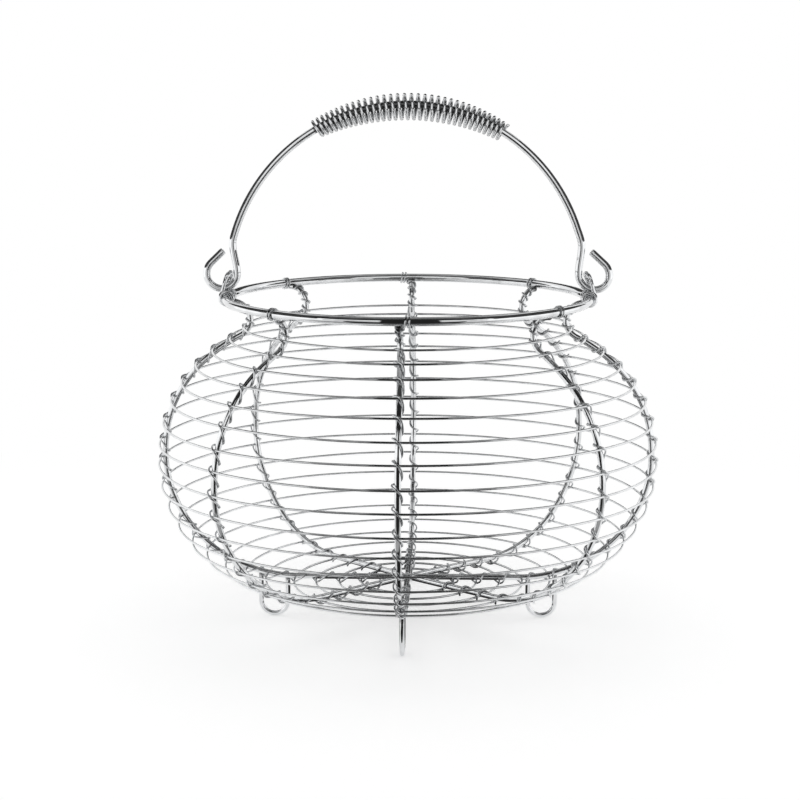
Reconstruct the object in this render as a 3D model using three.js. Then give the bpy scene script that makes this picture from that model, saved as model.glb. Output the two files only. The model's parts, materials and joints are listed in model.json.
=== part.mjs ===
// Wire salad basket: eight stout ribs in a swelling bowl, thin rings lashed to them with binding wire, a heavy
// rim, four looped feet and a bail that swings in two wire ears and carries a coiled grip.
// Millimetres, +Z up, the floor at Z = 0, the basket's axis on Z and its front toward -Y.
import * as THREE from "three";

// Wire diameters.
const RIM_WIRE = 4.2;
const RIB_WIRE = 3;
const RING_WIRE = 1;
const BINDING_WIRE = 0.8;
const FOOT_WIRE = 2.5;
const EAR_WIRE = 1.5;
const BAIL_WIRE = 3.6;
const GRIP_WIRE = 1.8;

// Gap kept between wires that touch on the real basket.
const CLEARANCE = 0.3;

// Rim and the side view of a rib, on wire centrelines.
const RIM_RADIUS = 90;
const RIM_HEIGHT = 164;
const STUB_DROP = 2.2; // the rib's blunt end below the rim
const NECK_BEND = 9; // bend radius under the rim
const SHOULDER_SLOPE = 28; // degrees above level where the shoulder runs into the neck
const SHOULDER_FULLNESS = 0.67; // 0 is a straight shoulder, 1 a square one
const BELLY_RADIUS = 122.5;
const BELLY_HEIGHT = 84;
const BASE_RADIUS = 56; // level middle of the base
const BASE_HEIGHT = 21;

// Ways the ribs point, in degrees counted from +X. The diagonal ones stand a little off even eighths.
const RIB_DEGREES = {
  right: 0,
  back_right: 42,
  back: 90,
  back_left: 134.5,
  left: 180,
  front_left: 224.5,
  front: 270,
  front_right: 319,
};

// Thin rings, spaced along the ribs from the rim down to the middle of the base.
const FIRST_RING = 18; // from the rib's blunt end
const LAST_WALL_RING = 72; // from the middle of the base
const WALL_RINGS = 17;
const BASE_RINGS = 4;
const OUTER_BASE_RING = 58;
const INNER_BASE_RING = 23.5;

// Binding wire: turns on the rim, turns on the rib's stub, then one turn for each ring.
const RIM_TURNS = 1.5;
const RIM_TURN_PITCH = 1.5;
const STUB_TURNS = 1;
const STUB_PITCH = 3;
const STUB_START = 2.5; // from the rib's blunt end
const LASH_RISE = 1; // slack of a turn over its ring
const BINDING_END = 4; // past the innermost ring

// Feet: each leg stands in a gap between two rings, at a share of the gap from its inner ring.
const OUTER_LEG_SHARE = 0.29;
const INNER_LEG_SHARE = 0.23;

// Ears: an eye that rises from the outside of the rim and leans in over it, its two ends wound round the rim.
const EAR_RISE = 12.5; // top of the eye above the rim
const EAR_TOP_INSET = 1.6; // top of the eye inside the rim circle
const EAR_TURNS = 1.25;
const EAR_PITCH = 2.6;

// Bail: hooked ends through the ears, a short reverse bend, and a round arch.
const HOOK_BEND = 7.6;
const HOOK_OUTSET = 2.6; // hook outside the rim circle
const HOOK_TIP_ANGLE = 46; // degrees above level where the hook straightens
const HOOK_TAIL = 8;
const ARCH_SPREAD = 5; // arch radius beyond the hooks' inner sides
const ARCH_RISE = 1; // arch centre above the swing axis
const ARCH_FOOT_ANGLE = 16; // degrees above level where the arch begins

// Grip: a loose coil round the top of the bail, fuller in the middle.
const GRIP_TURNS = 34;
const GRIP_HALF_ANGLE = 31; // degrees of arch to each side of the top
const GRIP_MID_RADIUS = 5.85;
const GRIP_END_RADIUS = 3.7;
const GRIP_SAG = 1.15; // middle of the coil below the bail
const GRIP_SPREAD = 0.14; // wider pitch in the middle than at the ends

// Facets.
const RIB_SIDES = 6;
const RIM_SIDES = 6;
const RIM_SEGMENTS = 48;
const RING_SIDES = 4;
const RING_SEGMENTS = 36;
const BASE_RING_SEGMENTS = 24;
const BINDING_SIDES = 3;
const BINDING_STEPS = 6;
const FOOT_SIDES = 8;
const FOOT_STEPS = 7;
const EAR_SIDES = 5;
const EAR_STEPS = 8;
const BAIL_SIDES = 8;
const GRIP_SIDES = 4;
const GRIP_STEPS = 8;

const { degToRad, lerp } = THREE.MathUtils;

const DIRECTIONS = Object.keys(RIB_DEGREES);
const FEET = ["right", "back", "left", "front"];
const EARS = ["right", "left"];

// The line through the middle of a wire, with one section of the wire at each of the points.
class WirePath extends THREE.Curve {
  constructor(points) {
    super();
    this.points = points;
  }

  getPoint(t, target = new THREE.Vector3()) {
    const last = this.points.length - 1;
    const place = THREE.MathUtils.clamp(t, 0, 1) * last;
    const i = Math.min(Math.floor(place), last - 1);
    return target.lerpVectors(this.points[i], this.points[i + 1], place - i);
  }

  // Sections fall on the points, which lie closer together in a bend.
  getUtoTmapping(u) {
    return u;
  }
}

// A round wire through the points, its section a polygon whose first corner is turned by a share of one side.
function wire(points, diameter, sides, turn = 0) {
  const corners = [];
  for (let i = 0; i < sides; i++) {
    const a = ((i + turn) / sides) * 2 * Math.PI;
    corners.push(new THREE.Vector2(Math.cos(a), Math.sin(a)).multiplyScalar(diameter / 2));
  }
  return new THREE.ExtrudeGeometry(new THREE.Shape(corners), {
    steps: points.length - 1,
    extrudePath: new WirePath(points),
    bevelEnabled: false,
  });
}

// Cut ends of a wound wire run on straight for a short way.
function withTails(points, length) {
  const tail = (end, next) => end.clone().sub(next).setLength(length).add(end);
  return [tail(points[0], points[1]), ...points, tail(points.at(-1), points.at(-2))];
}

// The least open gap between parts of a wound wire that are not neighbours along it.
function leastGap(points, diameter) {
  const path = new WirePath(points);
  const lengths = path.getLengths(points.length * 6);
  const samples = lengths.map((length, i) => ({ length, at: path.getPoint(i / (lengths.length - 1)) }));
  let least = Infinity;
  samples.forEach((a, i) => {
    for (const b of samples.slice(i + 1)) {
      if (b.length - a.length > 3 * diameter) {
        least = Math.min(least, a.at.distanceTo(b.at) - diameter);
      }
    }
  });
  return least;
}

// Rib centreline in its own upright plane: x out from the axis, y up, from the middle of the base to the end
// that butts against the rim from below.
const stubTop = STUB_DROP - RIB_WIRE / 2;
const ribEndRadius = RIM_RADIUS - Math.sqrt((RIM_WIRE / 2 + CLEARANCE) ** 2 - stubTop ** 2);
const neckCentre = new THREE.Vector2(ribEndRadius, RIM_HEIGHT - STUB_DROP - NECK_BEND);
const slope = degToRad(SHOULDER_SLOPE);
const shoulderEnd = new THREE.Vector2(Math.sin(slope), Math.cos(slope)).multiplyScalar(-NECK_BEND).add(neckCentre);
const shoulderCorner = new THREE.Vector2(
  BELLY_RADIUS,
  shoulderEnd.y - (BELLY_RADIUS - shoulderEnd.x) * Math.tan(slope),
);
const belly = new THREE.Vector2(BELLY_RADIUS, BELLY_HEIGHT);
const baseCurve = new THREE.LineCurve(
  new THREE.Vector2(0, BASE_HEIGHT),
  new THREE.Vector2(BASE_RADIUS, BASE_HEIGHT),
);
const bowlCurve = new THREE.EllipseCurve(
  BASE_RADIUS,
  BELLY_HEIGHT,
  BELLY_RADIUS - BASE_RADIUS,
  BELLY_HEIGHT - BASE_HEIGHT,
  -Math.PI / 2,
  0,
);
const shoulderCurve = new THREE.CubicBezierCurve(
  belly,
  belly.clone().lerp(shoulderCorner, SHOULDER_FULLNESS),
  shoulderEnd.clone().lerp(shoulderCorner, SHOULDER_FULLNESS),
  shoulderEnd,
);
const neckCurve = new THREE.EllipseCurve(
  neckCentre.x,
  neckCentre.y,
  NECK_BEND,
  NECK_BEND,
  1.5 * Math.PI - slope,
  0.5 * Math.PI,
  true,
);
const profile = new THREE.CurvePath();
[baseCurve, bowlCurve, shoulderCurve, neckCurve].forEach((curve) => profile.add(curve));
const ribLength = profile.getLength();

// A place on a rib, by its distance along the rib from the middle of the base, and the way out of the basket there.
function ribAt(distance) {
  const point = profile.getPoint(distance / ribLength);
  const along = profile.getTangent(distance / ribLength);
  return { point, outward: new THREE.Vector2(along.y, -along.x) };
}

// Rings lie on the outside of the ribs, beginning in the neck.
const ringOffset = (RIB_WIRE + RING_WIRE) / 2 + CLEARANCE;
const ringPlaces = [];
for (let i = 0; i < WALL_RINGS; i++) {
  ringPlaces.push(lerp(ribLength - FIRST_RING, LAST_WALL_RING, i / (WALL_RINGS - 1)));
}
for (let i = 0; i < BASE_RINGS; i++) {
  ringPlaces.push(lerp(OUTER_BASE_RING, INNER_BASE_RING, i / (BASE_RINGS - 1)));
}

// A ring's straight facets stay clear of the ribs wherever they cross them.
function ringMesh(place, segments) {
  const { point, outward } = ribAt(place);
  const centre = point.clone().addScaledVector(outward, ringOffset);
  const radius = centre.x / Math.cos(Math.PI / segments);
  const mesh = new THREE.Mesh(new THREE.TorusGeometry(radius, RING_WIRE / 2, RING_SIDES, segments));
  mesh.position.z = centre.y;
  return mesh;
}

// Ribs in the X-Z plane. One pair of opposite ribs is a single wire across the base; the others stop short of
// it, the diagonal ones also short of the front and back ribs.
const squareStop = RIB_WIRE / 2 + CLEARANCE;
const ribDegrees = [...Object.values(RIB_DEGREES), 360];
const closest = degToRad(Math.min(...ribDegrees.slice(1).map((angle, i) => angle - ribDegrees[i])));
const diagonalStop = (squareStop + (RIB_WIRE / 2) * Math.cos(closest)) / Math.sin(closest);
const bend = [
  ...bowlCurve.getPoints(9),
  ...shoulderCurve.getPoints(7).slice(1),
  ...neckCurve.getPoints(6).slice(1),
].map((p) => new THREE.Vector3(p.x, 0, p.y));

function ribGeometry(start) {
  return wire([new THREE.Vector3(start, 0, BASE_HEIGHT), ...bend], RIB_WIRE, RIB_SIDES);
}

function hoopGeometry() {
  const opposite = bend.map((p) => new THREE.Vector3(-p.x, 0, p.z)).reverse();
  return wire([...opposite, ...bend], RIB_WIRE, RIB_SIDES);
}

// A point beside the rim wire near +X: at a distance along the rim, and round the wire from its outer side.
function besideRim(along, reach, round) {
  const out = RIM_RADIUS + reach * Math.cos(round);
  const a = along / RIM_RADIUS;
  return new THREE.Vector3(out * Math.cos(a), out * Math.sin(a), RIM_HEIGHT + reach * Math.sin(round));
}

// Reach of a turn's corners that keeps its straight stretches clear of the wire inside it.
function turnReach(core, wound, steps) {
  return ((core + wound) / 2 + CLEARANCE) / Math.cos(Math.PI / steps);
}

// Binding wire of a rib in the X-Z plane. Its turns lean, so that seen from outside each one crosses its ring
// from upper left to lower right and comes back behind the rib.
const lashSide = turnReach(RIB_WIRE, BINDING_WIRE, BINDING_STEPS);
const lashInner = lashSide + CLEARANCE;
const lashOuter = ringOffset + (RING_WIRE + BINDING_WIRE) / 2 + LASH_RISE;

function lashPoint(place, turns) {
  const { point, outward } = ribAt(place);
  const round = turns * 2 * Math.PI;
  const out = (lashOuter - lashInner) / 2 + ((lashOuter + lashInner) / 2) * Math.cos(round);
  const spot = point.clone().addScaledVector(outward, out);
  return new THREE.Vector3(spot.x, lashSide * Math.sin(round), spot.y);
}

function bindingPoints(rimTurns) {
  const points = [];
  const reach = turnReach(RIM_WIRE, BINDING_WIRE, BINDING_STEPS);
  const nearest = lashSide + BINDING_WIRE;
  for (let i = rimTurns * BINDING_STEPS; i >= 1; i--) {
    const turns = i / BINDING_STEPS;
    points.push(besideRim(nearest + turns * RIM_TURN_PITCH, reach, (turns - 0.4) * 2 * Math.PI));
  }
  const step = 1 / BINDING_STEPS;
  const stubPlace = ribLength - STUB_START;
  const knots = [
    { turns: step, place: stubPlace },
    { turns: step + STUB_TURNS, place: stubPlace - STUB_TURNS * STUB_PITCH },
    ...ringPlaces.map((place, i) => ({ turns: STUB_TURNS + 1 + i, place })),
    { turns: STUB_TURNS + ringPlaces.length + 0.5, place: INNER_BASE_RING - BINDING_END },
  ];
  knots.slice(1).forEach((to, i) => {
    const from = knots[i];
    const count = Math.round((to.turns - from.turns) * BINDING_STEPS);
    for (let k = 0; k < count; k++) {
      const share = k / count;
      points.push(lashPoint(lerp(from.place, to.place, share), lerp(from.turns, to.turns, share)));
    }
  });
  points.push(lashPoint(knots.at(-1).place, knots.at(-1).turns));
  return withTails(points, BINDING_WIRE);
}

// A foot: a loop of wire in the rib's plane, whose two legs reach the rib's underside on either side of the last
// wall ring.
function footLeg(innerRing, share) {
  const { point, outward } = ribAt(lerp(ringPlaces[innerRing], ringPlaces[innerRing - 1], share));
  const tilt = Math.abs(outward.x / outward.y);
  const underside = point.y - (RIB_WIRE / 2 + CLEARANCE) / Math.abs(outward.y);
  return { x: point.x, top: underside - (tilt * FOOT_WIRE) / 2 };
}

function footGeometry() {
  const outer = footLeg(WALL_RINGS - 1, OUTER_LEG_SHARE);
  const inner = footLeg(WALL_RINGS, INNER_LEG_SHARE);
  const bow = (outer.x - inner.x) / 2;
  const middle = (outer.x + inner.x) / 2;
  const flat = (FOOT_WIRE / 2) * Math.cos(Math.PI / FOOT_SIDES);
  const height = (bow + flat) * Math.cos(Math.PI / 2 / FOOT_STEPS);
  const points = [new THREE.Vector3(outer.x, 0, outer.top)];
  for (let i = 0; i <= FOOT_STEPS; i++) {
    const a = (-Math.PI * i) / FOOT_STEPS;
    points.push(new THREE.Vector3(middle + bow * Math.cos(a), 0, height + bow * Math.sin(a)));
  }
  points.push(new THREE.Vector3(inner.x, 0, inner.top));
  return wire(points, FOOT_WIRE, FOOT_SIDES, 0.5);
}

// The bail swings on the bottom of its hooks, which lie on the rim inside the ears.
const hookRadius = RIM_RADIUS + HOOK_OUTSET;
const swingHeight = RIM_HEIGHT + (RIM_WIRE + BAIL_WIRE) / 2 + CLEARANCE;
const hookHeight = swingHeight + HOOK_BEND;
const archRadius = hookRadius - HOOK_BEND + ARCH_SPREAD;
const archHeight = swingHeight + ARCH_RISE;

// An ear at +X. Its eye is wide enough for the hook's curl to lie flat inside it when the bail is down.
const earReach = turnReach(RIM_WIRE, EAR_WIRE, EAR_STEPS);
const earOutset = (rise) => lerp(earReach, -EAR_TOP_INSET, rise / EAR_RISE);
const curlRoom = HOOK_BEND - (BAIL_WIRE + EAR_WIRE) / 2 - 2 * CLEARANCE;
const eyeOffset = HOOK_OUTSET - earOutset(swingHeight - RIM_HEIGHT);
const eyeHalf = HOOK_BEND - Math.sqrt(curlRoom ** 2 - eyeOffset ** 2);

function earPoints() {
  const side = [];
  const count = Math.round(EAR_TURNS * EAR_STEPS);
  for (let i = count; i >= 0; i--) {
    const turns = i / EAR_STEPS;
    side.push(besideRim(eyeHalf + turns * EAR_PITCH, earReach, -turns * 2 * Math.PI));
  }
  const top = [];
  for (let i = 0; i <= EAR_STEPS - 2; i++) {
    const a = (Math.PI * i) / (EAR_STEPS - 2);
    const rise = EAR_RISE - eyeHalf + eyeHalf * Math.sin(a);
    top.push(new THREE.Vector3(RIM_RADIUS + earOutset(rise), eyeHalf * Math.cos(a), RIM_HEIGHT + rise));
  }
  const otherSide = side.map((p) => new THREE.Vector3(p.x, -p.y, p.z)).reverse();
  return withTails([...side, ...top, ...otherSide], EAR_WIRE);
}

function bailPoints() {
  const half = [];
  const tip = degToRad(HOOK_TIP_ANGLE);
  const hookPoint = (a) => {
    return new THREE.Vector3(hookRadius + HOOK_BEND * Math.cos(a), 0, hookHeight + HOOK_BEND * Math.sin(a));
  };
  half.push(new THREE.Vector3(-Math.sin(tip), 0, Math.cos(tip)).multiplyScalar(HOOK_TAIL).add(hookPoint(tip)));
  const hookSteps = 11;
  for (let i = 0; i <= hookSteps; i++) {
    half.push(hookPoint(lerp(tip, -Math.PI, i / hookSteps)));
  }
  const foot = degToRad(ARCH_FOOT_ANGLE);
  const archPoint = (a) => {
    return new THREE.Vector3(archRadius * Math.cos(a), 0, archHeight + archRadius * Math.sin(a));
  };
  const start = half.at(-1);
  const end = archPoint(foot);
  const pull = start.distanceTo(end) / 3;
  const reverse = new THREE.CubicBezierCurve3(
    start,
    new THREE.Vector3(start.x, 0, start.z + pull),
    new THREE.Vector3(Math.sin(foot), 0, -Math.cos(foot)).multiplyScalar(pull).add(end),
    end,
  );
  half.push(...reverse.getPoints(4).slice(1));
  const archSteps = 12;
  for (let i = 1; i <= archSteps; i++) {
    half.push(archPoint(lerp(foot, Math.PI / 2, i / archSteps)));
  }
  const otherHalf = half.slice(0, -1).map((p) => new THREE.Vector3(-p.x, 0, p.z));
  return [...half, ...otherHalf.reverse()];
}

// The grip is snug on the bail at its ends and sags below it in the middle.
function gripPoints() {
  const points = [];
  const count = GRIP_TURNS * GRIP_STEPS;
  const halfAngle = degToRad(GRIP_HALF_ANGLE);
  for (let i = 0; i <= count; i++) {
    const t = i / count;
    const spread = t - (GRIP_SPREAD * Math.sin(2 * Math.PI * t)) / (2 * Math.PI);
    const a = Math.PI / 2 + lerp(halfAngle, -halfAngle, spread);
    const fullness = Math.sin(Math.PI * t);
    const radius = lerp(GRIP_END_RADIUS, GRIP_MID_RADIUS, fullness);
    const round = GRIP_TURNS * 2 * Math.PI * t;
    const out = archRadius - GRIP_SAG * fullness + radius * Math.cos(round);
    points.push(
      new THREE.Vector3(out * Math.cos(a), -radius * Math.sin(round), archHeight + out * Math.sin(a)),
    );
  }
  return withTails(points, GRIP_WIRE);
}

const basket = new THREE.Group();
const bail = new THREE.Group();
basket.add(bail);

// Bright chrome over steel, each piece with a material of its own.
function add(group, name, mesh, { color = 0xc6c9cc, roughness = 0.16 } = {}) {
  mesh.name = name;
  mesh.material = new THREE.MeshStandardMaterial({ color, roughness, metalness: 1 });
  group.add(mesh);
}

function addTurned(name, geometry, direction, finish) {
  const mesh = new THREE.Mesh(geometry);
  mesh.rotation.z = degToRad(RIB_DEGREES[direction]);
  add(basket, name, mesh, finish);
}

const rim = new THREE.Mesh(new THREE.TorusGeometry(RIM_RADIUS, RIM_WIRE / 2, RIM_SIDES, RIM_SEGMENTS));
rim.position.z = RIM_HEIGHT;
add(basket, "rim_ring", rim, { roughness: 0.12 });

addTurned("rib_hoop_left_right", hoopGeometry(), "right");
DIRECTIONS.forEach((direction, i) => {
  if (!EARS.includes(direction)) {
    addTurned(`rib_${direction}`, ribGeometry(i % 2 ? diagonalStop : squareStop), direction);
  }
});

ringPlaces.forEach((place, i) => {
  const onBase = i - WALL_RINGS;
  const name = onBase < 0 ? `wall_ring_${String(i + 1).padStart(2, "0")}` : `base_ring_${onBase + 1}`;
  add(basket, name, ringMesh(place, onBase < 0 ? RING_SEGMENTS : BASE_RING_SEGMENTS), { color: 0xb9bdc1 });
});

// Beside the ears the rim is taken up by the ears' own windings.
DIRECTIONS.forEach((direction) => {
  const points = bindingPoints(EARS.includes(direction) ? 0 : RIM_TURNS);
  const finish = { color: 0xaeb2b6, roughness: 0.22 };
  addTurned(`binding_${direction}`, wire(points, BINDING_WIRE, BINDING_SIDES), direction, finish);
  console.log(`binding_${direction}: least gap to itself ${leastGap(points, BINDING_WIRE).toFixed(2)} mm`);
});

FEET.forEach((direction) => addTurned(`foot_${direction}`, footGeometry(), direction));

EARS.forEach((direction) => {
  const points = earPoints();
  addTurned(`ear_${direction}`, wire(points, EAR_WIRE, EAR_SIDES), direction);
  console.log(`ear_${direction}: least gap to itself ${leastGap(points, EAR_WIRE).toFixed(2)} mm`);
});

add(bail, "bail_handle", new THREE.Mesh(wire(bailPoints(), BAIL_WIRE, BAIL_SIDES, 0.5)), { roughness: 0.12 });

const grip = gripPoints();
add(bail, "grip_coil", new THREE.Mesh(wire(grip, GRIP_WIRE, GRIP_SIDES)));
console.log(`grip_coil: least gap to itself ${leastGap(grip, GRIP_WIRE).toFixed(2)} mm`);

export default basket;
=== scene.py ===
"""Looks of the wire salad basket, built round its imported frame.

Every wire is drawn again as a smooth chromed tube on the centreline of its CAD node, with the wires
pulled into touch, fuller lashings, and the small unevenness of handwork. Wires are worked out in
millimetres, with the floor at Z = 0 and the front of the basket toward -Y, and become metres when
their meshes are made.
"""

import json
import math

import bpy
import numpy as np
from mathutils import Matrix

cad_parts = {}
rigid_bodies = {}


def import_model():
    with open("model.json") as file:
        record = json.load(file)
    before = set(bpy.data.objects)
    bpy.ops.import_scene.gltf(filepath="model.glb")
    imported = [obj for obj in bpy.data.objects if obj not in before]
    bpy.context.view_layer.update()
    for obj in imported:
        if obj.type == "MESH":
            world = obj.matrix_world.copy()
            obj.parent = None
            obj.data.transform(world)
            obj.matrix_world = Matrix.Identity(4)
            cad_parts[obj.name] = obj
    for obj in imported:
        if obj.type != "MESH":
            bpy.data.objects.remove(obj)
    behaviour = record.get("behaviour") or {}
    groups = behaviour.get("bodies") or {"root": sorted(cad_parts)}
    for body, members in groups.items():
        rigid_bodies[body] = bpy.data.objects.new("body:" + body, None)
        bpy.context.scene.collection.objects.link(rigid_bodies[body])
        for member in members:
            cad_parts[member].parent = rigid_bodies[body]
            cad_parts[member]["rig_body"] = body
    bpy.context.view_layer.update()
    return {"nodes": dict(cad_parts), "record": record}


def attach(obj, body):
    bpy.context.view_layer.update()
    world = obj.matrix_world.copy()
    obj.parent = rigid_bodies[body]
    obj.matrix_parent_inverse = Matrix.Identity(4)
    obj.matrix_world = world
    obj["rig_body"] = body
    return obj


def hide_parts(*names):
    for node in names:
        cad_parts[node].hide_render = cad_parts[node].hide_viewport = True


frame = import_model()

MM = 0.001
SEED = 11

# Wire diameters.
RIM_WIRE = 4.2
RIB_WIRE = 3.0
RING_WIRE = 1.1
BINDING_WIRE = 0.95
FOOT_WIRE = 2.5
EAR_WIRE = 1.9
BAIL_WIRE = 3.6
GRIP_WIRE = 1.6

# Rim and the side view of a rib.
RIM_RADIUS = 90.0
RIM_HEIGHT = 164.0
STUB_DROP = 2.2  # the rib's blunt end below the rim
RIM_GAP = 0.3  # between the rib's end and the rim
NECK_BEND = 9.0  # bend radius under the rim
SHOULDER_SLOPE = math.radians(28)  # above level, where the shoulder runs into the neck
SHOULDER_FULLNESS = 0.67  # 0 is a straight shoulder, 1 a square one
BELLY_RADIUS = 122.5
BELLY_HEIGHT = 84.0
BASE_RADIUS = 56.0  # level middle of the base
BASE_HEIGHT = 21.0

# Ribs, by their angle from +X. In handwork, two of them lean aside on the last of their way to the rim.
RIB_ANGLES = {
    "right": math.radians(0),
    "back_right": math.radians(42),
    "back": math.radians(90),
    "back_left": math.radians(134.5),
    "left": math.radians(180),
    "front_left": math.radians(224.5),
    "front": math.radians(269.45),
    "front_right": math.radians(319),
}
NECK_TWISTS = {"front_right": math.radians(1.9), "front": math.radians(-0.6)}
TWIST_LENGTH = 50.0
EARS = ("right", "left")
FEET = ("right", "back", "left", "front")

# Rings, by their distance along a rib: the first from the rib's end, the others from the middle of the base.
FIRST_RING = 18.0
LAST_WALL_RING = 72.0
WALL_RINGS = 17
BASE_RINGS = 4
OUTER_BASE_RING = 58.0
INNER_BASE_RING = 23.5
RING_WANDER = 0.45  # slip along a rib, in handwork

# Bindings: turns on the rim, on the rib's end and on the neck, and then one to each ring.
RIM_TURNS = 2.2
RIM_TURNS_END = 0.12  # where they stop, in parts of a turn
RIM_TURN_PITCH = 1.6
RIM_TURN_PHASE = 0.4
JOIN_AT = 3  # point of the lashing that the turns on the rim run into
BEHIND = 0.5  # the back of the rib, in parts of a turn from its front
FIRST_TURN = 1 / 6  # where the lashing starts
HIDDEN_TURNS = 1  # turns that a rib beside an ear goes without
STUB_TURNS = 2
STUB_START = 1.4  # from the rib's end
STUB_PITCH = 4.2
FIRST_RING_TURN = STUB_TURNS + 2  # one turn lies on the neck between
NECK_TURN = 13.9  # from the rib's end
NECK_LOOP = 0.3  # slack of the turn on the neck
LASH_SLACK = 0.1  # between a ring and the turn over it
LASH_LOOP = 0.9  # slack of a turn where it is loosest
LASH_LOOP_AT = 0.86  # where that is, in parts of a turn
LASH_LOOP_SHARPNESS = 3
LASH_WANDER = 0.3  # of the slack, in handwork
LASH_GRIP = 6  # how sharply a turn climbs over its ring
LASH_SKEW = 0.065  # lean of a turn to one side, in parts of a turn
LASH_DROP = 0.09  # how far it runs ahead behind the rib, in parts of a turn
BINDING_TAIL = 19.5  # the wire's end, from the middle of the base

# Feet: each leg's share of the way from one ring to the next.
OUTER_LEG_SHARE = 0.29
INNER_LEG_SHARE = 0.23

# Ears.
EAR_RISE = 12.5  # top of the eye above the rim
EAR_TOP_INSET = 1.6  # top of the eye inside the rim circle
EAR_HALF = 3.2  # half of the eye's width
EAR_TURNS = 1.25
EAR_PITCH = 2.6
EAR_TWIST = math.tan(math.radians(20))

# Bail and grip. In handwork, the bail's right arm stands in a little and the grip sits right of the top.
SWING_HEIGHT = 168.2
HOOK_BEND = 7.6
HOOK_RADIUS = 92.6  # the hook's middle, from the basket's axis
HOOK_TIP = math.radians(46)  # above level, where the hook straightens
HOOK_TAIL = 8.0
ARCH_RADIUS = 90.0
ARCH_HEIGHT = 169.2  # centre of the arch
ARCH_FOOT = math.radians(16)  # above level, where the arch begins
ARM_LEAN = 0.018  # share of the arm's distance from the middle
ARM_LEAN_RISE = 30.0  # height over which the lean comes in
GRIP_TURNS = 34
GRIP_HALF = math.radians(31)
GRIP_MID_RADIUS = 5.85
GRIP_END_RADIUS = 4.0
GRIP_SAG = 1.15  # middle of the coil below the bail
GRIP_SPREAD = 0.14  # wider pitch in the middle than at the ends
GRIP_SHIFT = 0.018  # angle along the arch

# Fineness of the tubes: corners round a wire, and steps along it.
STOUT_SIDES = 28
RING_SIDES = 14
BINDING_SIDES = 12
GRIP_SIDES = 18
RIM_STEPS = 432
RING_STEPS = 216
RIB_STEPS = 260
BASE_STEPS = 120
BOWL_STEPS = 400
WALL_STEPS = 300
NECK_STEPS = 160
TURN_STEPS = 30
RIM_TURN_STEPS = 12
EAR_TURN_STEPS = 24
EYE_STEPS = 8
FLOW_STEPS = 3
LEG_STEPS = 12
FOOT_STEPS = 60
TAIL_STEPS = 8
HOOK_STEPS = 70
REVERSE_STEPS = 24
ARCH_STEPS = 120
GRIP_TURN_STEPS = 40

# Cut ends: the bevel as a share of the wire's radius, and the angles of its steps.
END_BEVEL = 0.35
END_SWINGS = np.radians([30, 60, 90])

# Dark joints, where wires meet, and painted shade: at each rib's end, under the rim and over its joint there,
# on the underside of the grip's coil, and on the bail inside the grip. How dark, and how far that reaches.
# The reach is in millimetres, but for the binding in turns and for the grip in radii of the coil.
JOINTS_AND_SHADE = {
    "rib": (0.28, 0.8),
    # painted shade at the rib's end under the rim, over the rib's joint with it
    "rib_end": (1.0, 4.0),
    "rim": (0.25, 3.0),
    "ring": (0.3, 1.4),
    "binding": (0.4, 0.15),
    "foot_outer": (0.6, 2.0),
    "foot_inner": (0.6, 1.0),
    "hook": (0.3, 1.5),
    # painted shade on the underside of the grip's coil, where no wire meets it
    "grip": (0.3, 0.3),
}
# painted shade on the bail inside the grip's coil
UNDER_GRIP_SHADE = 1.0

# Chrome: drawn lines along the wires, and patches of uneven polish. Scales are per metre, first along the
# wire and then across it.
DRAWN_SCALE = (40, 5200, 5200)
DRAWN_DETAIL = 3.0
DRAWN_ROUGHNESS = 0.5
DRAWN_STRENGTH = 0.08
DRAWN_DEPTH = 0.00004
PATCH_SCALE = (130, 260, 260)
PATCH_DETAIL = 4.0
PATCH_ROUGHNESS = 0.6
TONE_RANGE = (0.34, 0.6)
DARK_TONE = 0.86
# colour of the dark joints and of the painted shade, as a share of the finish's colour
JOINT_AND_SHADE_TONE = 0.12
POLISH_RANGE = (0.3, 0.75)
POLISH_SPREAD = 0.06
# roughness added along the dark joints and the painted shade
JOINT_AND_SHADE_DULLNESS = 0.25
PLAIN_DULLNESS = 0.04
DULLNESS = {"rim_chrome": 0.03, "bail_chrome": 0.03, "binding_chrome": 0.07}
SHIFT_STEP = 3.7  # moves the noise from one finish to the next

# The studio, in metres: a white floor under a white sky, a soft box overhead and one to each side. Cards that
# show only in the wires stand in front, beside, above, below and behind, and give the bright wires their dark
# cores and outlines. The camera sees neither the boxes nor the cards.
FLOOR_RADIUS = 3.0
FLOOR_SIDES = 96
FLOOR_CLEAR = 0.26  # shadows show in full up to here
FLOOR_FADE = 0.5  # and have faded away here
FLOOR_GLOW = 0.34
PAPER = 0.9
AMBIENT = 0.5

# How bright the boxes and cards are, beside a sky of 1.
BRIGHTNESS = {
    "soft_box": 1.25,
    "top_box": 1.1,
    "pale_card": 0.6,
    "grey_card": 0.45,
    "shade_card": 0.4,
    "dark_card": 0.05,
    "black_card": 0.02,
}

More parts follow.
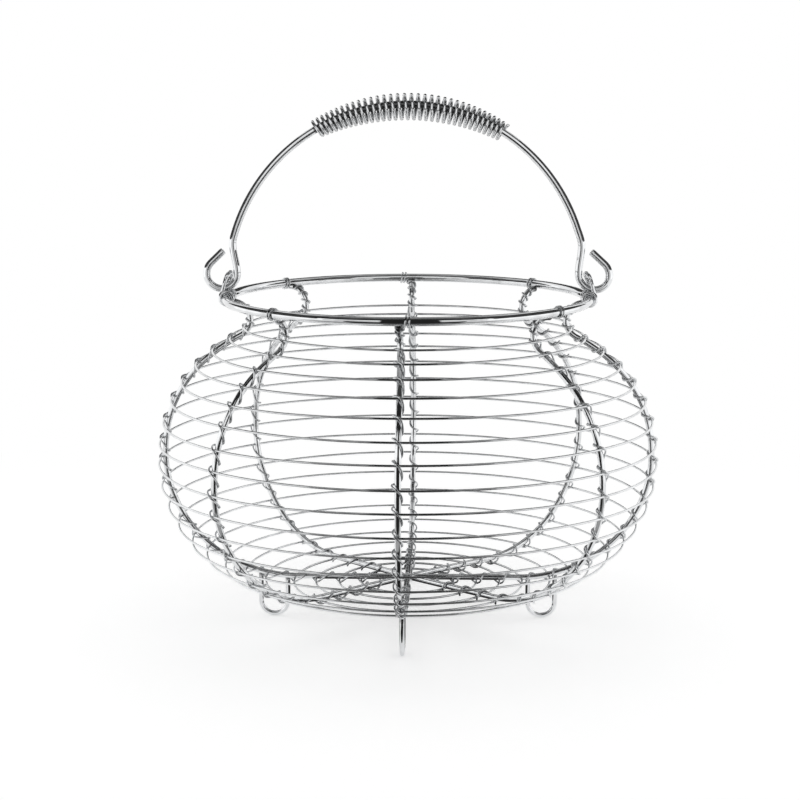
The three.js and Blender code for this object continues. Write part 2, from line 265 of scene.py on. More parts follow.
# Boxes and cards: two corners on the plan, bottom and top, and which of the above they are.
BOXES = {
    "box_right": ((0.7, -0.8), (0.7, 0.5), (0.0, 0.6), "soft_box"),
    "box_left": ((-0.7, -0.8), (-0.7, 0.5), (0.0, 0.6), "soft_box"),
    "box_top": ((-0.5, -0.25), (0.5, 0.6), (0.95, 0.95), "top_box"),
}
CARDS = {
    "card_front": ((-0.115, -0.2), (0.115, -0.2), (0.015, 0.14), "black_card"),
    "card_middle": ((-0.04, -0.2), (0.06, -0.2), (0.14, 0.23), "black_card"),
    "card_shelf": ((-0.16, -0.2), (0.16, -0.115), (0.23, 0.23), "black_card"),
    "card_middle_left": ((-0.3, -0.3), (-0.05, -0.3), (0.12, 0.21), "pale_card"),
    "card_middle_right": ((0.08, -0.3), (0.3, -0.3), (0.12, 0.21), "pale_card"),
    "card_above": ((-0.7, -0.3), (0.7, -0.3), (0.52, 0.8), "dark_card"),
    "card_right": ((0.21, -0.2), (0.21, 0.16), (0.2, 0.42), "dark_card"),
    "card_left": ((-0.21, -0.2), (-0.21, 0.16), (0.2, 0.42), "dark_card"),
    "card_high": ((-0.7, -0.3), (0.7, -0.3), (0.8, 0.94), "grey_card"),
    "card_top": ((-0.7, -0.3), (0.7, 0.08), (0.94, 0.94), "dark_card"),
    "card_top_back": ((-0.7, 0.08), (0.7, 0.5), (0.94, 0.94), "grey_card"),
    "card_floor": ((-0.3, -0.4), (0.3, -0.13), (0.001, 0.001), "shade_card"),
    "card_under": ((-0.05, -0.06), (0.05, 0.06), (0.002, 0.002), "dark_card"),
    "card_foot": ((-0.035, -0.17), (0.09, -0.098), (0.002, 0.002), "black_card"),
    "card_back_high": ((-0.22, 0.55), (0.22, 0.55), (0.27, 0.94), "dark_card"),
    "card_back": ((-0.25, 0.62), (0.25, 0.62), (0.001, 0.2), "black_card"),
}

# The camera, as the photograph was taken: a long lens just above the height of the bail, a little to the
# right of the front and looking a little down.
LENS = 88.97
SENSOR = 36
CAMERA_PLACE = (0.02596, -0.97726, 0.28305)
CAMERA_TILT = math.radians(80.094)
CAMERA_TURN = math.radians(1.75)

rng = np.random.default_rng(SEED)


def unit(v):
    return v / np.linalg.norm(v, axis=-1, keepdims=True)


def lerp(a, b, t):
    return a + (b - a) * t


def bezier(a, b, c, d, count):
    t = np.linspace(0, 1, count)[:, None]
    return a * (1 - t) ** 3 + 3 * b * t * (1 - t) ** 2 + 3 * c * t**2 * (1 - t) + d * t**3


def arc(centre, radius, start, stop, count):
    a = np.linspace(start, stop, count)
    return np.stack([centre[0] + radius * np.cos(a), centre[1] + radius * np.sin(a)], 1)


def upright(flat, angle=0.0):
    """Points (out, up) in space, each in the upright plane at its angle from +X."""
    return np.stack([flat[:, 0] * np.cos(angle), flat[:, 0] * np.sin(angle), flat[:, 1]], 1)


def turned(points, angle):
    """Points in space, turned about the basket's axis."""
    c, s = np.cos(angle), np.sin(angle)
    x, y, z = points.T
    return np.stack([x * c - y * s, x * s + y * c, z], 1)


def rib_profile():
    """The centreline of a rib in its own plane, from the middle of the base to its end at the rim."""
    stub_top = STUB_DROP - RIB_WIRE / 2
    end_radius = RIM_RADIUS - math.sqrt((RIM_WIRE / 2 + RIM_GAP) ** 2 - stub_top**2)
    neck_centre = np.array([end_radius, RIM_HEIGHT - STUB_DROP - NECK_BEND])
    shoulder = neck_centre - NECK_BEND * np.array([math.sin(SHOULDER_SLOPE), math.cos(SHOULDER_SLOPE)])
    corner_drop = (BELLY_RADIUS - shoulder[0]) * math.tan(SHOULDER_SLOPE)
    corner = np.array([BELLY_RADIUS, shoulder[1] - corner_drop])
    belly = np.array([BELLY_RADIUS, BELLY_HEIGHT])
    base = np.linspace((0, BASE_HEIGHT), (BASE_RADIUS, BASE_HEIGHT), BASE_STEPS)
    bowl_size = np.array([BELLY_RADIUS - BASE_RADIUS, BELLY_HEIGHT - BASE_HEIGHT])
    bowl_centre = np.array([BASE_RADIUS, BELLY_HEIGHT])
    bowl = bowl_centre + bowl_size * arc((0, 0), 1, -math.pi / 2, 0, BOWL_STEPS)
    above_belly = lerp(belly, corner, SHOULDER_FULLNESS)
    below_shoulder = lerp(shoulder, corner, SHOULDER_FULLNESS)
    wall = bezier(belly, above_belly, below_shoulder, shoulder, WALL_STEPS)
    neck = arc(neck_centre, NECK_BEND, 1.5 * math.pi - SHOULDER_SLOPE, math.pi / 2, NECK_STEPS)
    return np.concatenate([base[:-1], bowl[:-1], wall[:-1], neck])


PROFILE = rib_profile()
PROFILE_AT = np.concatenate([[0], np.cumsum(np.linalg.norm(np.diff(PROFILE, axis=0), axis=1))])
PROFILE_WAY = unit(np.gradient(PROFILE, PROFILE_AT, axis=0))
RIB_LENGTH = PROFILE_AT[-1]


def rib_at(distance):
    """Places on a rib by distance from the middle of the base, and the way out of the basket there."""
    place = np.stack([np.interp(distance, PROFILE_AT, PROFILE[:, i]) for i in (0, 1)], -1)
    way = unit(np.stack([np.interp(distance, PROFILE_AT, PROFILE_WAY[:, i]) for i in (0, 1)], -1))
    return place, np.stack([way[..., 1], -way[..., 0]], -1)


def rib_angle(direction, distance):
    """The angle of a rib at distances along it, with its lean at the neck."""
    share = np.clip(1 - (RIB_LENGTH - distance) / TWIST_LENGTH, 0, 1)
    return RIB_ANGLES[direction] + NECK_TWISTS.get(direction, 0.0) * share**2 * (3 - 2 * share)


def even_ring_places():
    wall = np.linspace(RIB_LENGTH - FIRST_RING, LAST_WALL_RING, WALL_RINGS)
    base = np.linspace(OUTER_BASE_RING, INNER_BASE_RING, BASE_RINGS)
    return np.concatenate([wall, base])


RING_PLACES = even_ring_places()
RING_NAMES = [f"wall_ring_{i + 1:02d}" for i in range(WALL_RINGS)]
RING_NAMES += [f"base_ring_{i + 1}" for i in range(BASE_RINGS)]
RING_OFFSET = (RIB_WIRE + RING_WIRE) / 2
ANGLES = np.array(list(RIB_ANGLES.values()))

# How far each ring has slipped along each rib.
RING_SLIPS = rng.uniform(-RING_WANDER, RING_WANDER, (len(RING_PLACES), len(ANGLES)))


def ring_place(ring, angles):
    """Where a ring crosses the ribs' lines at any angles, easing from one rib's slip to the next."""
    angles = np.asarray(angles, float) % (2 * math.pi)
    after = np.searchsorted(ANGLES, angles, side="right")
    before = after - 1
    stops = np.append(ANGLES, 2 * math.pi)
    share = (angles - stops[before]) / (stops[after] - stops[before])
    slips = np.append(RING_SLIPS[ring], RING_SLIPS[ring][0])
    eased = lerp(slips[before], slips[after], (1 - np.cos(math.pi * share)) / 2)
    return RING_PLACES[ring] + eased


def joint_and_shade(kind, distances):
    """How dark each kind of dark joint and of painted shade is at distances from it."""
    dark, reach = JOINTS_AND_SHADE[kind]
    return dark * np.exp(-((distances / reach) ** 2))


def from_nearest_rib(angles):
    """Angles from the nearest rib."""
    apart = np.angle(np.exp(1j * (angles[:, None] - ANGLES)))
    return np.abs(apart).min(axis=1)


def wire_frames(points, closed):
    """The way along a wire at each point, and two ways square to it that turn as little as they can."""
    ahead = unit(np.roll(points, -1, axis=0) - points)
    behind = np.roll(ahead, 1, axis=0)
    if not closed:
        ahead[-1] = ahead[-2]
        behind[0] = ahead[0]
    along = unit(ahead + behind)
    side = np.eye(3)[np.argmin(np.abs(along[0]))]
    sides = []
    for way in along:
        side = unit(side - way * (side @ way))
        sides.append(side)
    sides = np.array(sides)
    return along, sides, np.cross(along, sides)


def tube(name, points, diameter, sides, closed, grime_and_shade):
    """A round wire through points in millimetres, with softly broken edges at its cut ends."""
    points = points * MM
    grime_and_shade = np.zeros(len(points)) if grime_and_shade is None else grime_and_shade
    radius = diameter * MM / 2
    along, first, second = wire_frames(points, closed)
    radii = np.full(len(points), radius)
    if not closed:
        bevel = END_BEVEL * radius
        out = (bevel * np.sin(END_SWINGS))[:, None]
        inset = radius - bevel * (1 - np.cos(END_SWINGS))
        points = np.concatenate([points[0] - along[0] * out[::-1], points, points[-1] + along[-1] * out])
        radii = np.concatenate([inset[::-1], radii, inset])
        widen = (len(END_SWINGS), len(END_SWINGS))
        first = np.pad(first, (widen, (0, 0)), mode="edge")
        second = np.pad(second, (widen, (0, 0)), mode="edge")
        grime_and_shade = np.pad(grime_and_shade, widen, mode="edge")
    count = len(points)
    turn = np.linspace(0, 2 * math.pi, sides, endpoint=False)
    spoke = np.cos(turn)[None, :, None] * first[:, None] + np.sin(turn)[None, :, None] * second[:, None]
    verts = (points[:, None] + radii[:, None, None] * spoke).reshape(-1, 3)
    rows = count if closed else count - 1
    i, j = np.meshgrid(np.arange(rows), np.arange(sides), indexing="ij")
    i_next = (i + 1) % count
    j_next = (j + 1) % sides
    quads = [i * sides + j, i * sides + j_next, i_next * sides + j_next, i_next * sides + j]
    faces = np.stack(quads, -1).reshape(-1, 4).tolist()
    if not closed:
        faces.append(list(range(sides))[::-1])
        faces.append(list(range((count - 1) * sides, count * sides)))
    mesh = bpy.data.meshes.new(name)
    mesh.from_pydata(verts.tolist(), [], faces)
    mesh.polygons.foreach_set("use_smooth", np.ones(len(faces), bool))

    travelled = np.concatenate([[0], np.cumsum(np.linalg.norm(np.diff(points, axis=0), axis=1))])
    across = np.tile(np.cos(turn), count) * radius
    through = np.tile(np.sin(turn), count) * radius
    place = np.stack([np.repeat(travelled, sides), across, through], 1).astype(np.float32)
    mesh.attributes.new("wire_place", "FLOAT_VECTOR", "POINT").data.foreach_set("vector", place.ravel())
    # how dark each point is, by its dark joints and its painted shade
    grime_and_shade = np.repeat(grime_and_shade, sides).astype(np.float32)
    mesh.attributes.new("grime_and_shade", "FLOAT", "POINT").data.foreach_set("value", grime_and_shade)
    mesh.update()
    piece = bpy.data.objects.new(name, mesh)
    bpy.context.scene.collection.objects.link(piece)
    return piece


def link(tree, source, output, target, entry):
    tree.links.new(source.outputs[output], target.inputs[entry])


def wire_noise(tree, place, scale, shift, detail, roughness):
    """Noise laid out along a wire."""
    mapping = tree.nodes.new("ShaderNodeMapping")
    mapping.inputs["Scale"].default_value = scale
    mapping.inputs["Location"].default_value = shift
    link(tree, place, "Vector", mapping, "Vector")
    noise = tree.nodes.new("ShaderNodeTexNoise")
    noise.inputs["Scale"].default_value = 1.0
    noise.inputs["Detail"].default_value = detail
    noise.inputs["Roughness"].default_value = roughness
    link(tree, mapping, "Vector", noise, "Vector")
    return noise


def chrome(name, colour, dull, shift):
    """Bright plating over drawn steel wire: faint lines along the wire, uneven polish, dark joints, and
    painted shade.
    """
    material = bpy.data.materials.new(name)
    material.use_nodes = True
    tree = material.node_tree
    tree.nodes.clear()
    output = tree.nodes.new("ShaderNodeOutputMaterial")
    shader = tree.nodes.new("ShaderNodeBsdfPrincipled")
    shader.inputs["Metallic"].default_value = 1.0
    link(tree, shader, "BSDF", output, "Surface")

    place = tree.nodes.new("ShaderNodeAttribute")
    place.attribute_name = "wire_place"
    grime_and_shade = tree.nodes.new("ShaderNodeAttribute")
    grime_and_shade.attribute_name = "grime_and_shade"
    lines = wire_noise(tree, place, DRAWN_SCALE, (shift, shift, 0), DRAWN_DETAIL, DRAWN_ROUGHNESS)
    patches = wire_noise(tree, place, PATCH_SCALE, (0, shift, shift), PATCH_DETAIL, PATCH_ROUGHNESS)

    plating = tree.nodes.new("ShaderNodeValToRGB")
    dark_end, bright_end = plating.color_ramp.elements
    dark_end.position, bright_end.position = TONE_RANGE
    dark_end.color = (*[c * DARK_TONE for c in colour], 1)
    bright_end.color = (*colour, 1)
    link(tree, patches, "Fac", plating, "Fac")
    # Dark joints and painted shade darken the plating, as the wire's darkening attribute asks.
    joints_and_shade = tree.nodes.new("ShaderNodeMix")
    joints_and_shade.data_type = "RGBA"
    joints_and_shade.inputs["B"].default_value = (*[c * JOINT_AND_SHADE_TONE for c in colour], 1)
    link(tree, grime_and_shade, "Fac", joints_and_shade, "Factor")
    link(tree, plating, "Color", joints_and_shade, "A")
    link(tree, joints_and_shade, "Result", shader, "Base Color")

    polish = tree.nodes.new("ShaderNodeMapRange")
    polish.inputs["From Min"].default_value = POLISH_RANGE[0]
    polish.inputs["From Max"].default_value = POLISH_RANGE[1]
    polish.inputs["To Min"].default_value = dull
    polish.inputs["To Max"].default_value = dull + POLISH_SPREAD
    link(tree, patches, "Fac", polish, "Value")
    rough = tree.nodes.new("ShaderNodeMath")
    rough.operation = "MULTIPLY_ADD"
    rough.inputs[1].default_value = JOINT_AND_SHADE_DULLNESS
    link(tree, grime_and_shade, "Fac", rough, 0)
    link(tree, polish, "Result", rough, 2)
    link(tree, rough, "Value", shader, "Roughness")

    bump = tree.nodes.new("ShaderNodeBump")
    bump.inputs["Strength"].default_value = DRAWN_STRENGTH
    bump.inputs["Distance"].default_value = DRAWN_DEPTH
    link(tree, lines, "Fac", bump, "Height")
    link(tree, bump, "Normal", shader, "Normal")
    return material


def make_finishes():
    """A chrome finish for each of the record's materials."""
    finishes = {}
    for i, row in enumerate(frame["record"]["materials"]):
        slot = row["slot"]
        dull = DULLNESS.get(slot, PLAIN_DULLNESS)
        finishes[slot] = chrome(slot, row["base_color"][:3], dull, SHIFT_STEP * i)
    return finishes


FINISHES = make_finishes()
SLOT_OF = {row["node"]: row["material_slot"] for row in frame["record"]["subparts"]}


def dress(node, points, diameter, sides, closed=False, grime_and_shade=None):
    """A smooth wire that stands for a CAD node, on the node's body and in the node's finish."""
    piece = tube(f"{node}_wire", points, diameter, sides, closed, grime_and_shade)
    piece.data.materials.append(FINISHES[SLOT_OF[node]])
    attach(piece, frame["nodes"][node]["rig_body"])
    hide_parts(node)


def make_rim():
    angles = np.linspace(0, 2 * math.pi, RIM_STEPS, endpoint=False)
    circle = np.tile([RIM_RADIUS, RIM_HEIGHT], (RIM_STEPS, 1))
    grime_and_shade = joint_and_shade("rim", from_nearest_rib(angles) * RIM_RADIUS)
    dress("rim_ring", upright(circle, angles), RIM_WIRE, STOUT_SIDES, closed=True, grime_and_shade=grime_and_shade)


def rib_grime_and_shade(distance):
    """Dark joints on a rib, where the rings cross it, and painted shade at its end under the rim."""
    at_rings = np.max([joint_and_shade("rib", distance - place) for place in RING_PLACES], axis=0)
    # painted shade at the rib's end, under the rim
    return np.maximum(at_rings, joint_and_shade("rib_end", distance - RIB_LENGTH))


def make_ribs():
    """The ribs stop short of each other at the middle of the base, where the hoop runs through."""
    square_stop = RIB_WIRE / 2
    closest = np.diff(np.append(ANGLES, 2 * math.pi)).min()
    diagonal_stop = square_stop * (1 + math.cos(closest)) / math.sin(closest)
    for direction in RIB_ANGLES:
        if direction in EARS:
            continue
        start = square_stop if direction in FEET else diagonal_stop
        distance = np.linspace(start, RIB_LENGTH, RIB_STEPS)
        place, _ = rib_at(distance)
        points = upright(place, rib_angle(direction, distance))
        dress(f"rib_{direction}", points, RIB_WIRE, STOUT_SIDES, grime_and_shade=rib_grime_and_shade(distance))
    distance = np.linspace(-RIB_LENGTH, RIB_LENGTH, 2 * RIB_STEPS + 1)
    place, _ = rib_at(np.abs(distance))
    place[:, 0] *= np.sign(distance)
    grime_and_shade = rib_grime_and_shade(np.abs(distance))
    dress("rib_hoop_left_right", upright(place), RIB_WIRE, STOUT_SIDES, grime_and_shade=grime_and_shade)


def make_rings():
    angles = np.linspace(0, 2 * math.pi, RING_STEPS, endpoint=False)
    for ring, name in enumerate(RING_NAMES):
        place, outward = rib_at(ring_place(ring, angles))
        line = place + RING_OFFSET * outward
        grime_and_shade = joint_and_shade("ring", from_nearest_rib(angles) * line[:, 0])
        dress(name, upright(line, angles), RING_WIRE, RING_SIDES, closed=True, grime_and_shade=grime_and_shade)


def beside_rim(along, reach, turn):
    """A point beside the rim near +X: along the rim, and turned round its wire from the outer side."""
    out = RIM_RADIUS + reach * np.cos(turn)
    a = along / RIM_RADIUS
    return np.stack([out * np.cos(a), out * np.sin(a), RIM_HEIGHT + reach * np.sin(turn)], -1)


def flowing(points):
    """A smooth line through points (Catmull-Rom)."""
    padded = np.concatenate([2 * points[:1] - points[1:2], points, 2 * points[-1:] - points[-2:-1]])
    a, b, c, d = padded[:-3], padded[1:-2], padded[2:-1], padded[3:]
    steps = []
    for t in np.linspace(0, 1, FLOW_STEPS, endpoint=False):
        square = (2 * a - 5 * b + 4 * c - d) * t**2
        cube = (3 * b - a - 3 * c + d) * t**3
        steps.append(0.5 * (2 * b + (c - a) * t + square + cube))
    line = np.stack(steps, 1).reshape(-1, 3)
    return np.concatenate([line, points[-1:]])


def lash_stops(angle):
    """The turns of a lashing by number, with each one's place on the rib, rise over a ring, and slack."""
    stub_start = RIB_LENGTH - STUB_START
    stops = [
        (0, stub_start, 0, 0),
        (STUB_TURNS, stub_start - STUB_TURNS * STUB_PITCH, 0, 0),
        (STUB_TURNS + 1, RIB_LENGTH - NECK_TURN, 0, NECK_LOOP),
    ]
    for ring in range(len(RING_PLACES)):
        place = float(ring_place(ring, angle))
        slack = LASH_LOOP + rng.uniform(-LASH_WANDER, LASH_WANDER)
        stops.append((FIRST_RING_TURN + ring, place, RING_WIRE + LASH_SLACK, slack))
    last_turn = stops[-1][0]
    stops.append((last_turn + BEHIND, BINDING_TAIL, 0, 0))
    return np.array(stops, float).T


def rim_wraps(snug):
    """The binding's turns on the rim beside a rib along +X, from the wire's end in toward the rib."""
    at = np.arange(RIM_TURNS, RIM_TURNS_END, -1 / RIM_TURN_STEPS)
    along = snug + BINDING_WIRE / 2 + at * RIM_TURN_PITCH
    return beside_rim(along, (RIM_WIRE + BINDING_WIRE) / 2, (at - RIM_TURN_PHASE) * 2 * math.pi)


def binding_line(direction):
    """A rib's binding wire: turns on the rim, turns on the rib's end, then one leaning turn to a ring."""
    turns, places, rises, slacks = lash_stops(RIB_ANGLES[direction])
    snug = (RIB_WIRE + BINDING_WIRE) / 2
    start = FIRST_TURN + HIDDEN_TURNS if direction in EARS else FIRST_TURN
    at = np.arange(start, turns[-1], 1 / TURN_STEPS)
    round_rib = 2 * math.pi * (at % 1)
    skew = LASH_SKEW * np.sin(round_rib) + LASH_DROP * (1 - np.cos(round_rib))
    skewed = at + np.where(at > FIRST_RING_TURN, skew, 0)
    distance = np.interp(np.minimum(skewed, turns[-1]), turns, places)
    place, outward = rib_at(distance)
    over = np.interp(np.round(at), turns, rises) * ((1 + np.cos(round_rib)) / 2) ** LASH_GRIP
    from_loop = round_rib - 2 * math.pi * LASH_LOOP_AT
    loose = np.interp(at, turns, slacks) * ((1 + np.cos(from_loop)) / 2) ** LASH_LOOP_SHARPNESS
    reach = snug + np.maximum(over, loose)
    flat = place + (reach * np.cos(round_rib))[:, None] * outward
    line = np.stack([flat[:, 0], reach * np.sin(round_rib), flat[:, 1]], 1)
    grime_and_shade = joint_and_shade("binding", at % 1 - BEHIND)
    if direction not in EARS:
        wraps = rim_wraps(snug)
        joined = flowing(np.concatenate([wraps, line[JOIN_AT - 1 : JOIN_AT + 1]]))[:-1]
        line = np.concatenate([joined, line[JOIN_AT:]])
        distance = np.concatenate([np.full(len(joined), RIB_LENGTH), distance[JOIN_AT:]])
        grime_and_shade = np.concatenate([np.zeros(len(joined)), grime_and_shade[JOIN_AT:]])
    return turned(line, rib_angle(direction, distance)), grime_and_shade


def make_bindings():
    for direction in RIB_ANGLES:
        line, grime_and_shade = binding_line(direction)
        dress(f"binding_{direction}", line, BINDING_WIRE, BINDING_SIDES, grime_and_shade=grime_and_shade)


def foot_leg(inner_ring, share):
    """Where a leg stands under a rib, between two rings, and the height at which it meets the rib."""
    place, outward = rib_at(lerp(RING_PLACES[inner_ring], RING_PLACES[inner_ring - 1], share))
    return place[0], place[1] - RIB_WIRE / 2 / abs(outward[1])


def make_feet():
    outer, outer_top = foot_leg(WALL_RINGS - 1, OUTER_LEG_SHARE)
    inner, inner_top = foot_leg(WALL_RINGS, INNER_LEG_SHARE)
    bow = (outer - inner) / 2
    centre = ((outer + inner) / 2, bow + FOOT_WIRE / 2)
    loop = arc(centre, bow, 0, -math.pi, FOOT_STEPS)
    leg = np.linspace(0, 1, LEG_STEPS)[:, None]
    down = lerp(np.array([outer, outer_top]), loop[0], leg)
    up = lerp(loop[-1], np.array([inner, inner_top]), leg)
    flat = np.concatenate([down[:-1], loop, up[1:]])
    heights = flat[:, 1]
    grime_and_shade = np.maximum(joint_and_shade("foot_outer", heights - outer_top), joint_and_shade("foot_inner", heights - inner_top))
    for direction in FEET:
        points = upright(flat, RIB_ANGLES[direction])
        dress(f"foot_{direction}", points, FOOT_WIRE, STOUT_SIDES, grime_and_shade=grime_and_shade)


def make_ears():
    """An ear's wire winds on to the rim from both sides, and its eye stands twisted above the rim."""
    reach = (RIM_WIRE + EAR_WIRE) / 2
    turns = np.linspace(EAR_TURNS, 0, round(EAR_TURNS * EAR_TURN_STEPS) + 1)
    side = beside_rim(EAR_HALF + turns * EAR_PITCH, reach, -turns * 2 * math.pi)
    a = np.linspace(0, math.pi / 2, EYE_STEPS + 1)
    rise = EAR_RISE - EAR_HALF + EAR_HALF * np.sin(a)
    outset = lerp(reach, -EAR_TOP_INSET, rise / EAR_RISE)
    eye = np.stack([RIM_RADIUS + outset, EAR_HALF * np.cos(a), RIM_HEIGHT + rise], 1)
    half = np.concatenate([side, eye[:-1]])
    other_half = half[::-1] * np.array([1, -1, 1])
    line = flowing(np.concatenate([half, eye[-1:], other_half]))
    height_share = np.clip((line[:, 2] - RIM_HEIGHT) / EAR_RISE, 0, 1)
    for direction in EARS:
        angle = RIB_ANGLES[direction]
        twisted = line.copy()
        twisted[:, 0] -= math.cos(angle) * EAR_TWIST * height_share * line[:, 1]
        dress(f"ear_{direction}", turned(twisted, angle), EAR_WIRE, STOUT_SIDES)


def bail_line():
    """The bail in its own plane: a tail and a hook, a reverse bend, the arch, and the same again."""
    hook_centre = np.array([HOOK_RADIUS, SWING_HEIGHT + HOOK_BEND])
    arch_centre = np.array([0, ARCH_HEIGHT])
    hook = arc(hook_centre, HOOK_BEND, HOOK_TIP, -math.pi, HOOK_STEPS)
    tip_way = np.array([-math.sin(HOOK_TIP), math.cos(HOOK_TIP)])
    tail = np.linspace(hook[0] + HOOK_TAIL * tip_way, hook[0], TAIL_STEPS)
    arch = arc(arch_centre, ARCH_RADIUS, ARCH_FOOT, math.pi / 2, ARCH_STEPS)
    pull = np.linalg.norm(arch[0] - hook[-1]) / 3
    start_pull = hook[-1] + np.array([0, pull])
    end_pull = arch[0] + pull * np.array([math.sin(ARCH_FOOT), -math.cos(ARCH_FOOT)])
    reverse = bezier(hook[-1], start_pull, end_pull, arch[0], REVERSE_STEPS)
    half = np.concatenate([tail[:-1], hook[:-1], reverse[:-1], arch])
    other_half = half[-2::-1] * np.array([-1, 1])
    return np.concatenate([half, other_half])


def leaning(points):
    """Points of the bail, whose right arm stands in a little above its hook."""
    points = points.copy()
    share = np.clip((points[:, 2] - SWING_HEIGHT) / ARM_LEAN_RISE, 0, 1)
    points[:, 0] -= ARM_LEAN * share * np.maximum(points[:, 0], 0)
    return points


def make_bail():
    flat = bail_line()
    from_top = np.arctan2(flat[:, 0], flat[:, 1] - ARCH_HEIGHT)
    under_grip = np.abs(from_top) < GRIP_HALF
    # painted shade on the bail inside the grip, and a dark joint where the hook hangs
    grime_and_shade = np.where(under_grip, UNDER_GRIP_SHADE, joint_and_shade("hook", flat[:, 1] - SWING_HEIGHT))
    dress("bail_handle", leaning(upright(flat)), BAIL_WIRE, STOUT_SIDES, grime_and_shade=grime_and_shade)


def make_grip():
    """The grip is snug on the bail at its ends and sags below it in the middle."""
    t = np.linspace(0, 1, GRIP_TURNS * GRIP_TURN_STEPS + 1)
    spread = t - GRIP_SPREAD * np.sin(2 * math.pi * t) / (2 * math.pi)
    a = math.pi / 2 - GRIP_SHIFT + lerp(GRIP_HALF, -GRIP_HALF, spread)
    fullness = np.sin(math.pi * t)
    radius = lerp(GRIP_END_RADIUS, GRIP_MID_RADIUS, fullness)
    turn = GRIP_TURNS * 2 * math.pi * t
    out = ARCH_RADIUS - GRIP_SAG * fullness + radius * np.cos(turn)
    points = np.stack([out * np.cos(a), -radius * np.sin(turn), ARCH_HEIGHT + out * np.sin(a)], 1)
    # painted shade on the underside of each turn of the coil
    grime_and_shade = joint_and_shade("grip", np.cos(turn) + 1)
    dress("grip_coil", leaning(points), GRIP_WIRE, GRIP_SIDES, grime_and_shade=grime_and_shade)


def seen(tree):
    """1 for rays from the camera, off a mirror or through glass, and 0 for the light that falls on things."""
    path = tree.nodes.new("ShaderNodeLightPath")
    first = tree.nodes.new("ShaderNodeMath")
    first.operation = "MAXIMUM"
    link(tree, path, "Is Camera Ray", first, 0)
    link(tree, path, "Is Glossy Ray", first, 1)
    both = tree.nodes.new("ShaderNodeMath")
    both.operation = "MAXIMUM"
    link(tree, first, "Value", both, 0)
    link(tree, path, "Is Transmission Ray", both, 1)
    return both


def make_world():
    """A white sky to look at, which lights the basket with a part of its brightness."""
    world = bpy.data.worlds.new("studio")
    world.use_nodes = True
    tree = world.node_tree
    tree.nodes.clear()
    output = tree.nodes.new("ShaderNodeOutputWorld")
    mix = tree.nodes.new("ShaderNodeMixShader")
    ambient = tree.nodes.new("ShaderNodeBackground")
    ambient.inputs["Strength"].default_value = AMBIENT
    ambient.inputs["Color"].default_value = (1, 1, 1, 1)
    backdrop = tree.nodes.new("ShaderNodeBackground")
    backdrop.inputs["Color"].default_value = (1, 1, 1, 1)
    link(tree, seen(tree), "Value", mix, "Fac")
    link(tree, ambient, "Background", mix, 1)
    link(tree, backdrop, "Background", mix, 2)
    link(tree, mix, "Shader", output, "Surface")
    bpy.context.scene.world = world


def floor_material():
    """White paper that keeps shadows near the basket and fades into the white backdrop further off."""
    material = bpy.data.materials.new("white_floor")
    material.use_nodes = True
    tree = material.node_tree
    tree.nodes.clear()
    output = tree.nodes.new("ShaderNodeOutputMaterial")
    paper = tree.nodes.new("ShaderNodeBsdfDiffuse")
    paper.inputs["Color"].default_value = (PAPER, PAPER, PAPER, 1)
    shows = seen(tree)
    lift = tree.nodes.new("ShaderNodeMath")
    lift.operation = "MULTIPLY"
    lift.inputs[1].default_value = FLOOR_GLOW
    link(tree, shows, "Value", lift, 0)
    glow = tree.nodes.new("ShaderNodeEmission")
    link(tree, lift, "Value", glow, "Strength")
    lifted = tree.nodes.new("ShaderNodeAddShader")
    link(tree, paper, "BSDF", lifted, 0)
    link(tree, glow, "Emission", lifted, 1)
    far = tree.nodes.new("ShaderNodeEmission")
    link(tree, shows, "Value", far, "Strength")
    place = tree.nodes.new("ShaderNodeTexCoord")
    away = tree.nodes.new("ShaderNodeVectorMath")
    away.operation = "LENGTH"
    link(tree, place, "Object", away, 0)
    fade = tree.nodes.new("ShaderNodeMapRange")
    fade.interpolation_type = "SMOOTHSTEP"
    fade.inputs["From Min"].default_value = FLOOR_CLEAR
    fade.inputs["From Max"].default_value = FLOOR_FADE
    link(tree, away, "Value", fade, "Value")
    mix = tree.nodes.new("ShaderNodeMixShader")
    link(tree, fade, "Result", mix, "Fac")
    link(tree, lifted, "Shader", mix, 1)
    link(tree, far, "Emission", mix, 2)
    link(tree, mix, "Shader", output, "Surface")
    return material


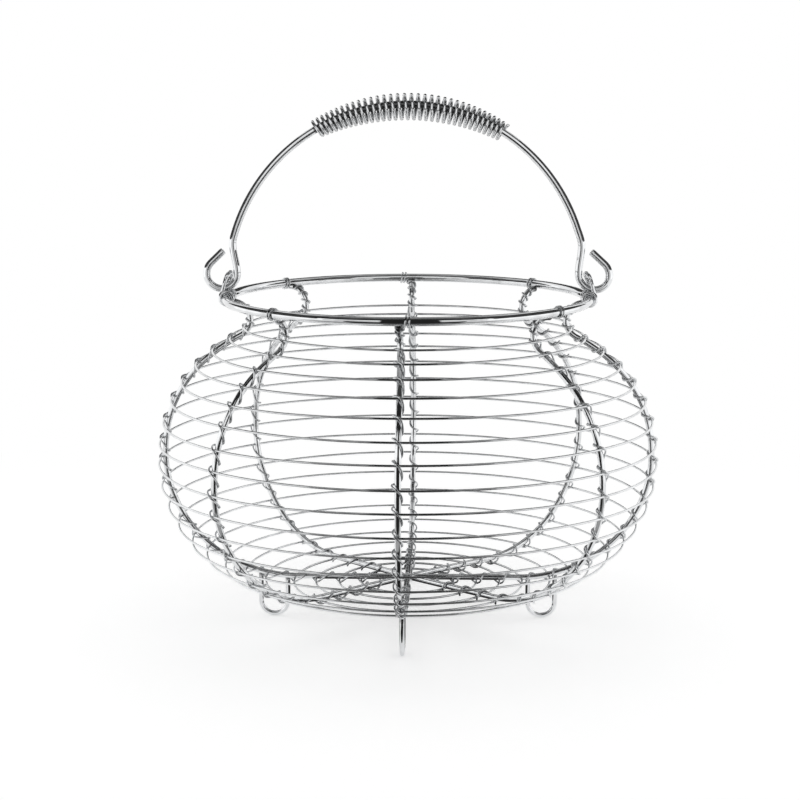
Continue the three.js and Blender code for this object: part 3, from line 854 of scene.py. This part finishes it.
def glowing(name):
    material = bpy.data.materials.new(name)
    material.use_nodes = True
    tree = material.node_tree
    tree.nodes.clear()
    output = tree.nodes.new("ShaderNodeOutputMaterial")
    light = tree.nodes.new("ShaderNodeEmission")
    light.inputs["Strength"].default_value = BRIGHTNESS[name]
    link(tree, light, "Emission", output, "Surface")
    return material


def stage_piece(name, corners, material):
    mesh = bpy.data.meshes.new(name)
    mesh.from_pydata(corners, [], [list(range(len(corners)))])
    mesh.materials.append(material)
    thing = bpy.data.objects.new(name, mesh)
    bpy.context.scene.collection.objects.link(thing)
    return thing


def panel(name, start, stop, heights, material, lights):
    """An upright or level panel that the camera does not see. One without light shows in mirrors alone."""
    x0, y0 = start
    x1, y1 = stop
    low, high = heights
    if low == high:
        corners = [(x0, y0, low), (x1, y0, low), (x1, y1, low), (x0, y1, low)]
    else:
        corners = [(x0, y0, low), (x1, y1, low), (x1, y1, high), (x0, y0, high)]
    thing = stage_piece(name, corners, material)
    thing.visible_camera = False
    thing.visible_shadow = False
    thing.visible_diffuse = lights


def make_studio():
    edge = arc((0, 0), FLOOR_RADIUS, 0, 2 * math.pi, FLOOR_SIDES + 1)[:-1]
    stage_piece("floor", [(x, y, 0) for x, y in edge.tolist()], floor_material())
    looks = {name: glowing(name) for name in BRIGHTNESS}
    for name, (start, stop, heights, look) in BOXES.items():
        panel(name, start, stop, heights, looks[look], lights=True)
    for name, (start, stop, heights, look) in CARDS.items():
        panel(name, start, stop, heights, looks[look], lights=False)


def make_camera():
    camera = bpy.data.cameras.new("camera")
    camera.lens = LENS
    camera.sensor_width = SENSOR
    view = bpy.data.objects.new("camera", camera)
    view.location = CAMERA_PLACE
    view.rotation_euler = (CAMERA_TILT, 0, CAMERA_TURN)
    bpy.context.scene.collection.objects.link(view)
    bpy.context.scene.camera = view


make_rim()
make_ribs()
make_rings()
make_bindings()
make_feet()
make_ears()
make_bail()
make_grip()
make_world()
make_studio()
make_camera()
bpy.context.scene.view_settings.view_transform = "Standard"
